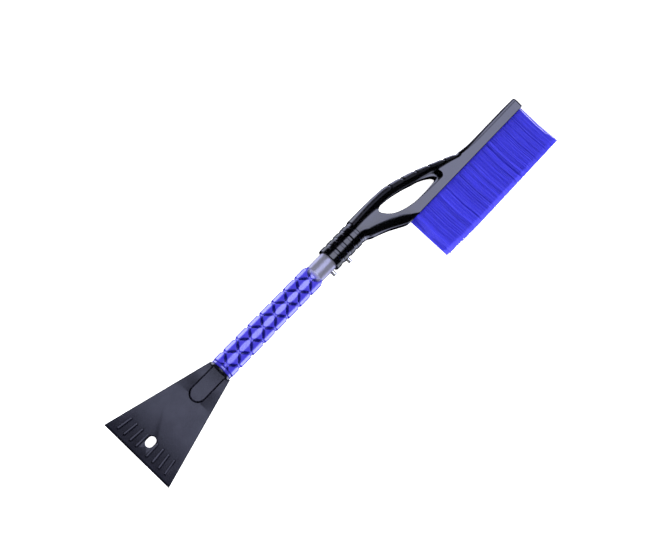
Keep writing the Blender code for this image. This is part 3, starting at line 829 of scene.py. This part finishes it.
def build_grip():
    bm = bmesh.new()
    # This layer holds painted shade: how far each point's blue is darkened to navy
    painted_cut_shade_layer = bm.verts.layers.float.new("cut")
    fade_layer = bm.verts.layers.float.new("fade")
    angles = [math.tau * k / GRIP_AROUND for k in range(GRIP_AROUND)]
    rings = []
    for i in range(GRIP_COLUMNS + 1):
        x = GRIP_START + (GRIP_END - GRIP_START) * i / GRIP_COLUMNS
        ring = []
        for angle in angles:
            radius, navy, fade = grip_surface(x, angle)
            vert = bm.verts.new((x, radius * math.sin(angle), radius * math.cos(angle)))
            vert[painted_cut_shade_layer] = navy
            vert[fade_layer] = fade
            ring.append(vert)
        rings.append(ring)
    for x in (GRIP_END, GRIP_START):
        rings.append([
            bm.verts.new((x, GRIP_INNER * math.sin(angle), GRIP_INNER * math.cos(angle))) for angle in angles
        ])
    rings.append(rings[0])
    join_rings(bm, rings)
    mesh = to_mesh(bm, "grip_cover", 60.0)
    return add_piece("grip_cover", mesh, GRIP_FINISH, "handle", ["grip_sleeve"])


# ---- brush head

def top_edge(x):
    """The head's outer edge under the strip as far as its end, and the bar's bare back after it."""
    under_strip = smooth_height(TOP_EDGE, x) - PAD_THICKNESS
    return under_strip + PAD_THICKNESS * ease(PAD_END - 0.001, PAD_END + 0.004, x)


def head_section(x, inset=0.0):
    """Top, bottom, half thickness and the two corner roundings, as (across, through) semi-axes."""
    return (
        top_edge(x) - inset,
        smooth_height(UNDER_EDGE, x) + inset,
        smooth_height(THICKNESS, x) - inset,
        (smooth_height(TOP_ACROSS, x), smooth_height(TOP_THROUGH, x)),
        (smooth_height(UNDER_ACROSS, x), smooth_height(UNDER_THROUGH, x)),
    )


def collar_ring(x, radius, steps):
    """A round section whose points match head_ring's corner by corner."""
    ring = []
    for quarter in range(4):
        for i in range(steps + 1):
            angle = math.pi / 2 * (quarter + i / steps)
            ring.append((x, radius * math.sin(angle), radius * math.cos(angle)))
    return ring


def corner(across, through, share):
    """A place on a corner of two arcs, from the flat face to the edge, as distances in from its outer limits.

    The first arc turns half a right angle and so does the second; they are equal where across is through.
    """
    half_turn = math.sin(math.radians(45.0))
    rest = 1 - half_turn
    scale = half_turn**2 - rest**2
    wide = (half_turn * across - rest * through) / scale
    tight = (half_turn * through - rest * across) / scale
    angle = math.pi / 2 * share
    if share <= 0.5:
        return across - wide * math.sin(angle), wide * (1 - math.cos(angle))
    return tight * (1 - math.sin(angle)), through - tight * math.cos(angle)


def head_ring(x, steps, inset=0.0, place=None, top_inset=None):
    """The head's section at x, or at place if given, shrunk by inset or at its top by top_inset."""
    top, bottom, half, over, under = head_section(x, inset)
    if top_inset is not None:
        top = top_edge(x) - top_inset
    ring = []
    for quarter, (edge, inward, side, size) in enumerate((
        (top, -1, 1, over), (top, -1, -1, over), (bottom, 1, -1, under), (bottom, 1, 1, under),
    )):
        for i in range(steps + 1):
            share = 1 - i / steps if quarter % 2 else i / steps
            y, z = corner(size[0], size[1], share)
            ring.append((x if place is None else place, edge + inward * y, side * (half - z)))
    return ring


def past_groove_walls(x):
    """How far x is outside each ring groove, less than 0 inside one."""
    return [abs(x - GROOVE_FIRST - GROOVE_PITCH * i) - GROOVE_LENGTH / 2 for i in range(GROOVES)]


def collar_depth(x):
    """How far down the collar's ring grooves dip at x, from 0 to 1."""
    return max(1 - ease(-GROOVE_WALL, 0.0, away) for away in past_groove_walls(x))


def head_mesh():
    """The collar with its grooves, the neck that blends it into the loop, and the bar with its round end."""
    steps = 10
    rings = []
    for share in (0.0, 0.35, 0.7, 1.0):
        turn = COLLAR_LIP * (1 - math.sqrt(1 - (1 - share) ** 2))
        rings.append(collar_ring(HEAD_START + COLLAR_LIP * share, COLLAR_RADIUS - turn, steps))
    x = HEAD_START + 0.001
    while x < NECK_X - NECK_LEAD:
        rings.append(collar_ring(x, COLLAR_RADIUS - GROOVE_DEPTH * collar_depth(x), steps))
        near_wall = min(abs(away) for away in past_groove_walls(x)) < GROOVE_WALL
        x += WALL_STEP if near_wall else COLLAR_STEP
    while x < NECK_X + NECK_BLEND:
        share = ease(NECK_X - NECK_LEAD, NECK_X + NECK_BLEND, x)
        pairs = zip(collar_ring(x, COLLAR_RADIUS - GROOVE_DEPTH * 0.5, steps), head_ring(x, steps))
        rings.append([Vector(one).lerp(Vector(two), share) for one, two in pairs])
        x += NECK_STEP
    last = HEAD_END - BAR_END_ROUND
    while x < last:
        rings.append(head_ring(x, steps))
        x += HEAD_STEP
    for angle in (0, 18, 36, 54, 72, 90):
        out = BAR_END_ROUND * math.sin(math.radians(angle))
        drop = BAR_END_ROUND * (1 - math.cos(math.radians(angle)))
        rings.append(head_ring(last, steps, END_SHARE * drop, last + out, drop))
    return lofted("brush_head_shell", rings)


def opening_cutter():
    """The hand loop's hole, wider near both faces, so that a ledge shows inside its far end."""
    points = [(x, y, ledge) for (x, y), ledge in zip(OPENING, OPENING_LEDGE)]
    curve = catmull(points, 10)
    count = len(curve)

    def ring(side, level, share, grow):
        made = []
        for i, point in enumerate(curve):
            along = curve[(i + 1) % count] - curve[i - 1]
            out = Vector((along.y, -along.x)).normalized()
            wide = max(point.z, 0.0002) * share + grow
            z = side * (head_section(point.x)[2] + level) if level > -LEDGE_DROP else side * LEDGE_HEIGHT
            made.append((point.x - out.x * wide, point.y - out.y * wide, z))
        return made

    rings = []
    for side in (-1, 1):
        part = [ring(side, -LEDGE_DROP, 0.0, 0.0), ring(side, -LEDGE_DROP, 1.0, 0.0)]
        for angle in (0, 30, 60, 90):
            level = OPENING_RIM * (math.sin(math.radians(angle)) - 1)
            part.append(ring(side, level, 1.0, OPENING_RIM * (1 - math.cos(math.radians(angle)))))
        part.append(ring(side, 0.010, 1.0, OPENING_RIM))
        rings += part if side > 0 else part[::-1]
    return lofted("hand_opening", rings)


def rim_groove():
    """The fine line on both faces of the bar that sets off its back edge, tapering away towards the loop."""
    bm = bmesh.new()
    for side in (-1, 1):
        rings = []
        for i in range(RIM_STATIONS + 1):
            x = RIM_START + (HEAD_END - BAR_END_ROUND - RIM_START) * i / RIM_STATIONS
            top, _, half, over, _ = head_section(x)
            middle = top - max(RIM_IN, over[0] * 0.8)
            width = RIM_LINE * (0.3 + 0.7 * ease(0.0, 0.030, x - RIM_START))
            above = side * (half + 0.001)
            below = side * (half - RIM_DEPTH)
            rings.append([
                (x, middle - width, above), (x, middle + width, above),
                (x, middle + 0.1 * width, below), (x, middle - 0.1 * width, below),
            ])
        skin(bm, rings)
    return to_mesh(bm, "rim_groove")


def tuft_places():
    """Hole centres, row by row."""
    return [
        (row, FIRST_TUFT + TUFT_PITCH * i, (row - (ROWS - 1) / 2) * ROW_PITCH)
        for row in range(ROWS)
        for i in range(TUFTS)
    ]


def tuft_holes():
    bm = bmesh.new()
    for _, x, z in tuft_places():
        outline = []
        for i in range(12):
            angle = math.tau * i / 12
            outline.append((x + HOLE_RADIUS * math.cos(angle), z + HOLE_RADIUS * math.sin(angle)))
        levels = (BAR_UNDERSIDE - 0.002, BAR_UNDERSIDE + HOLE_DEPTH)
        skin(bm, [[(px, y, pz) for px, pz in outline] for y in levels])
    return to_mesh(bm, "tuft_holes")


def build_head():
    """The moulding, cut by the loop's opening, the socket, the slot, the holes, their pocket and a line."""
    start = HEAD_START - 0.01
    socket = turned("socket", (
        (start, 0.0), (start, SOCKET_RADIUS), (SOCKET_END, SOCKET_RADIUS), (SOCKET_END, 0.0),
    ))
    slot = stadium_prism(SLOT_LENGTH, SLOT_WIDTH, -0.018, -0.010)
    pocket_outline = stadium(FAR_ROOT - NEAR_ROOT, 2 * POCKET_HALF, 12)
    middle = (FAR_ROOT + NEAR_ROOT) / 2
    pocket = lofted("bristle_pocket", [
        [(middle + x, y, z) for x, z in pocket_outline]
        for y in (BAR_UNDERSIDE - 0.002, BAR_UNDERSIDE + POCKET_DEPTH)
    ])
    head = cut(head_mesh(), [
        (opening_cutter(), (0, 0, 0)), (socket, (0, 0, 0)), (slot, (LOCK_X + SLOT_SHIFT, 0, 0)),
        (tuft_holes(), (0, 0, 0)), (pocket, (0, 0, 0)), (rim_groove(), (0, 0, 0)),
    ], "DIFFERENCE", 40.0)
    head = level_flats(head, 50)
    return add_piece("brush_head_shell", head, HEAD_FINISH, "brush", ["brush_head"])


def strip_line(x, lift):
    """The strip's path across the head's outer edge at x, from corner to corner, lifted off it by lift."""
    top, _, half, over, _ = head_section(x)
    line = []
    for side in (1, -1):
        part = []
        for i in range(STRIP_STEPS + 1):
            share = STRIP_WRAP + (1 - STRIP_WRAP) * i / STRIP_STEPS
            y, z = corner(over[0], over[1], share)
            angle = math.pi / 2 * share
            part.append((x, top - y + lift * math.sin(angle), side * (half - z + lift * math.cos(angle))))
        line += part if side > 0 else part[::-1]
    return line


def build_strip():
    """The soft strip on the loop's outer edge, a row of pads parted by cross notches."""
    rings = []
    for i in range(STRIP_STATIONS + 1):
        x = STRIP_START + (PAD_END - STRIP_START) * i / STRIP_STATIONS
        nearest = min(abs(x - notch) for notch in PAD_NOTCHES)
        dip = min(1.0, max(0.0, NOTCH_STEEP * (1 - nearest / NOTCH_HALF)))
        ends = min(ease(-0.0005, 0.0010, x - STRIP_START), ease(0.0, 0.0080, PAD_END - x))
        lift = (PAD_THICKNESS - NOTCH_DEPTH * dip) * (0.15 + 0.85 * ends)
        outer = strip_line(x, lift)
        inner = strip_line(x, -0.0006)
        rings.append(outer + inner[::-1])
    mesh = lofted("loop_pads", rings, 40.0)
    return add_piece("loop_pads", mesh, STRIP_FINISH, "brush", ["arch_grip_strip"])


# ---- bristles

def filament(rng, tuft_x, tuft_z, place, short):
    """One filament's middle line, from its hole through the pocket to its tip, as points and tip values."""
    share = (tuft_x - FIRST_TUFT) / (TUFT_PITCH * (TUFTS - 1))
    around = rng.uniform(0.0, math.tau)
    out = TUFT_SPREAD * math.sqrt(rng.random())
    fan_x = FAN_ALONG * (place + rng.uniform(0.0, 1.0) / FILAMENTS - 0.5) * TUFT_PITCH
    fan_z = rng.uniform(-FAN_THROUGH, FAN_THROUGH) * ROW_PITCH
    half = TUFT_PITCH / 2
    root_x = NEAR_ROOT + half + (FAR_ROOT - NEAR_ROOT - TUFT_PITCH) * share + fan_x
    tip_x = NEAR_TIP + half + (FAR_TIP - NEAR_TIP - TUFT_PITCH) * share + fan_x
    stray = rng.uniform(-STRAY, STRAY)
    end = BRISTLE_TIP + TIP_CLEAR + short + rng.uniform(0.0, TIP_SPREAD)
    hole_x = tuft_x + out * math.cos(around)
    hole_z = tuft_z + out * math.sin(around)
    hung_z = tuft_z + fan_z
    places = (
        (hole_x, BAR_UNDERSIDE + HOLE_DEPTH, hole_z, 0.0),
        (hole_x, BAR_UNDERSIDE + POCKET_DEPTH, hole_z, 0.0),
        (root_x, BAR_UNDERSIDE - 0.0004, tuft_z + ROOT_SHARE * fan_z, 0.0),
        (root_x + stray, (BAR_UNDERSIDE + end) / 2, hung_z, 0.0),
        (tip_x, end + TIP_BAND, hung_z, 0.0),
        (tip_x + stray, end + TIP_BAND * 0.75, hung_z, 1.0),
        (tip_x + stray, end, hung_z, 1.0),
    )
    points = []
    for x, y, z, tip in places:
        down = max(0.0, (BAR_UNDERSIDE - y) / (BAR_UNDERSIDE - end))
        near = NEAR_ROOT + (NEAR_TIP - NEAR_ROOT) * down
        far = FAR_ROOT + (FAR_TIP - FAR_ROOT) * down
        points.append((min(far - FILAMENT_RADIUS, max(near + FILAMENT_RADIUS, x)), y, z, tip))
    return points


def add_filament(parts, line, shade, turn):
    """Adds a four-sided rod along the line to a row's lists of points, faces, shades and tip values."""
    verts, faces, shades, tips = parts
    base = len(verts)
    for n, (x, y, z, tip) in enumerate(line):
        radius = FILAMENT_RADIUS * (TIP_FLARE if tip else 1.0)
        for k in range(4):
            angle = turn + math.tau * k / 4
            verts.append((x + radius * math.cos(angle), y, z + radius * math.sin(angle)))
            shades.append(min(1.0, max(0.0, shade)))
            tips.append(tip * (DULL_TIP + (1 - DULL_TIP) * (1 - ease(*DULL_TIP_SPAN, x))))
            if n:
                one = base + 4 * (n - 1)
                j = (k + 1) % 4
                faces.append((one + k, one + j, one + 4 + j, one + 4 + k))
    end = len(verts) - 4
    faces.append((base + 3, base + 2, base + 1, base))
    faces.append((end, end + 1, end + 2, end + 3))


def build_bristles():
    """Each row's filaments, which fan out in the bar's pocket and hang side by side below it."""
    rng = random.Random(SEED)
    for row in range(ROWS):
        parts = ([], [], [], [])
        for tuft_row, tuft_x, tuft_z in tuft_places():
            if tuft_row != row:
                continue
            near = 1 - ease(*RAGGED_SPAN, tuft_x)
            ragged = rng.uniform(0.0, RAGGED_TUFT) * near
            for i in range(FILAMENTS):
                short = ragged + rng.uniform(0.0, RAGGED_FILAMENT) * near
                line = filament(rng, tuft_x, tuft_z, i / FILAMENTS, short)
                wave = near * math.sin(line[3][0] * STREAK_TURN)
                shade = 0.5 + STREAK * wave + rng.uniform(-STREAK, STREAK)
                add_filament(parts, line, shade, rng.uniform(0.0, math.tau))
        verts, faces, shades, tips = parts
        name = f"bristles_{row + 1}"
        mesh = bpy.data.meshes.new(name)
        mesh.from_pydata(verts, [], faces)
        mesh.attributes.new("shade", "FLOAT", "POINT").data.foreach_set("value", shades)
        mesh.attributes.new("tip", "FLOAT", "POINT").data.foreach_set("value", tips)
        mesh.shade_smooth()
        add_piece(name, mesh, BRISTLE_FINISH, "brush", [f"bristle_row_{row + 1}"])


# ---- buttons and clip

def build_buttons():
    for name, node, x, tip in (
        ("release_dome", "release_button", RELEASE_X, RELEASE_TIP),
        ("lock_dome", "lock_button", LOCK_X, LOCK_TIP),
    ):
        outline = [*BUTTON_STEM, (BUTTON_STEM[-1][0], BUTTON_RADIUS)]
        for angle in (0.0, 0.3, 0.6, 0.9, 1.2, math.pi / 2):
            along = tip - BUTTON_DOME + BUTTON_DOME * math.sin(angle)
            outline.append((along, BUTTON_RADIUS - BUTTON_TURN + BUTTON_TURN * math.cos(angle)))
        outline.append((tip, 0.0))
        mesh = turned(name, outline, 48, "Y")
        add_piece(name, mesh, BUTTON_FINISH, "buttons", [node], (x, 0.0, 0.0))


def clip_line():
    """The clip's middle line: the leg with the buttons, the bend, and the brace to the other wall."""
    bend = Vector((CLIP_BEND_X, -CLIP_OUT + CLIP_TURN))
    points = [Vector((CLIP_END - (CLIP_END - CLIP_BEND_X) * i / 24, -CLIP_OUT)) for i in range(24)]
    for i in range(11):
        angle = -math.pi * i / 10
        points.append(bend + CLIP_TURN * Vector((math.sin(angle), -math.cos(angle))))
    start = points[-1].copy()
    brace = Vector((CLIP_END - 0.010, CLIP_OUT))
    points += [start.lerp(brace, i / 24) for i in range(1, 25)]
    return points


def build_clip():
    """The bent strip inside the tube, one fixed piece here: on the tool its leg with the buttons moves and
    its brace doesn't.
    """
    half = CLIP_WIDTH / 2
    thin = CLIP_THICKNESS / 2
    section = (
        (-half + thin, -thin), (half - thin, -thin), (half, 0.0), (half - thin, thin), (-half + thin, thin),
        (-half, 0.0),
    )
    points = clip_line()
    rings = []
    for i, point in enumerate(points):
        along = (points[min(i + 1, len(points) - 1)] - points[max(i - 1, 0)]).normalized()
        across = Vector((-along.y, along.x))
        ring = []
        for u, w in section:
            place = point + across * w
            ring.append((place.x, place.y, u))
        rings.append(ring)
    mesh = lofted("clip_strip", rings, 60.0)
    piece = add_piece("clip_strip", mesh, STEEL_FINISH, "", ["spring_clip"])
    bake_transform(piece)


def paint_carried_nodes():
    for name in ("spigot_pin", "staple_row_1", "staple_row_2", "staple_row_3", "staple_row_4"):
        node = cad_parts[name]
        node.data.materials.clear()
        node.data.materials.append(STEEL_FINISH)


# ---- stage

FLOOR_HALF = 6.0
CAMERA_DISTANCE = 1.31
CAMERA_TILT = math.radians(17.0)
CAMERA_ROLL = math.radians(45.7)
CAMERA_LENS = 60.0
CAMERA_TARGET = Vector((0.30816, -0.00922, 0.0))

# Panels of light that only reflections see: strength, then the low end, high end and softness of each span
# of directions. x is how far a direction leans along the tool, up to 1. across is its turn about the tool
# from straight up and rise its height, both in degrees.
OVERHEAD = ("across", -19.0, 19.0, 9.0)
LIGHT_PANELS = (
    (1.45, (("x", 0.098, 0.126, 0.018), OVERHEAD)),
    (0.20, (("x", 0.03, 0.18, 0.03), OVERHEAD)),
    (3.40, (("x", 0.175, 0.64, 0.012), OVERHEAD)),
    (1.60, (("x", 0.12, 0.28, 0.02), ("rise", -50.0, 0.0, 4.0))),
    (2.00, (("x", -0.20, 0.85, 0.04), ("rise", -34.0, -8.0, 5.0))),
)
PANEL_TINT = (0.86, 0.90, 1.30)
TUBE_SPAN = (0.292, 0.318, 0.010)
TUBE_DIMMING = 0.28
TUBE_LESS_BLUE = 0.45
ROOM_LIGHT = (1.75, 1.75, 1.78)


def build_camera():
    """Over the scraper end, looking down at the tool's middle, which runs up to the right."""
    along = Vector((math.cos(CAMERA_TILT), 0, math.sin(CAMERA_TILT)))
    back = Vector((-math.sin(CAMERA_TILT), 0, math.cos(CAMERA_TILT)))
    side = Vector((0, 1, 0))
    right = math.cos(CAMERA_ROLL) * along - math.sin(CAMERA_ROLL) * side
    up = math.sin(CAMERA_ROLL) * along + math.cos(CAMERA_ROLL) * side
    data = bpy.data.cameras.new("camera")
    data.lens = CAMERA_LENS
    data.sensor_width = 36.0
    camera = placed("camera", data)
    turn = Matrix((right, up, back)).transposed()
    camera.matrix_world = Matrix.Translation(ORIGIN + CAMERA_TARGET + CAMERA_DISTANCE * back) @ turn.to_4x4()
    bpy.context.scene.camera = camera


def build_floor():
    made = Finish("floor_white", roughness=0.8, ior=1.2)
    made.colour(made.mix(made.span(made.noise(3.0, 2.0), 0.3, 0.7), (0.90, 0.90, 0.90), (0.92, 0.92, 0.92)))
    made.shader.inputs["Emission Color"].default_value = (1.0, 1.0, 1.0, 1.0)
    made.shader.inputs["Emission Strength"].default_value = 0.9
    bm = bmesh.new()
    bmesh.ops.create_grid(bm, x_segments=8, y_segments=8, size=FLOOR_HALF)
    mesh = to_mesh(bm, "floor")
    mesh.materials.append(made.material)
    floor = placed("floor", mesh)
    floor.visible_glossy = False


def build_world():
    """An even white tent for the diffuse light, and for reflections a dark room with panels of soft light."""
    world = bpy.data.worlds.new("studio")
    world.use_nodes = True
    world.cycles.sampling_method = "NONE"
    nodes = Nodes(world.node_tree)

    def window(value, low, high, soft):
        """1 between low and high, falling to 0 over soft on each side."""
        sides = []
        for start, end, held in ((low - soft, low, 0.0), (high, high + soft, 1.0)):
            side = nodes.node("ShaderNodeMapRange", {
                "Value": value, "From Min": start, "From Max": end, "To Min": held, "To Max": 1.0 - held,
            }, interpolation_type="SMOOTHSTEP")
            sides.append(side.outputs["Result"])
        return nodes.maths("MULTIPLY", *sides)

    place = nodes.node("ShaderNodeTexCoord").outputs["Generated"]
    x, y, z = nodes.node("ShaderNodeSeparateXYZ", {0: place}).outputs
    across = nodes.maths("DEGREES", nodes.maths("ARCTAN2", y, z))
    rise = nodes.maths("DEGREES", nodes.maths("ARCSINE", z))
    places = {"x": x, "across": across, "rise": rise}
    bright = 0.0
    for strength, spans in LIGHT_PANELS:
        panel = strength
        for name, low, high, soft in spans:
            panel = nodes.maths("MULTIPLY", panel, window(places[name], low, high, soft))
        bright = nodes.maths("ADD", bright, panel)
    tube_part = window(x, *TUBE_SPAN)
    bright = nodes.maths("MULTIPLY", bright, nodes.maths("MULTIPLY_ADD", tube_part, -TUBE_DIMMING, 1.0))
    red, green, blue = PANEL_TINT
    blue = nodes.maths("MULTIPLY_ADD", tube_part, -TUBE_LESS_BLUE, blue)
    channels = [nodes.maths("MULTIPLY", bright, factor) for factor in (red, green, blue)]
    tint = nodes.node("ShaderNodeCombineColor", dict(enumerate(channels))).outputs[0]
    glossy = nodes.node("ShaderNodeLightPath").outputs["Is Glossy Ray"]
    background = nodes.tree.nodes["Background"]
    nodes.feed(background.inputs["Color"], nodes.mix(glossy, ROOM_LIGHT, tint))
    bpy.context.scene.world = world


def main():
    build_camera()
    build_floor()
    build_world()
    build_blade()
    build_tube()
    build_grip()
    build_head()
    build_strip()
    build_bristles()
    build_buttons()
    build_clip()
    paint_carried_nodes()
    view = bpy.context.scene.view_settings
    view.view_transform = "Standard"
    view.look = "None"


main()
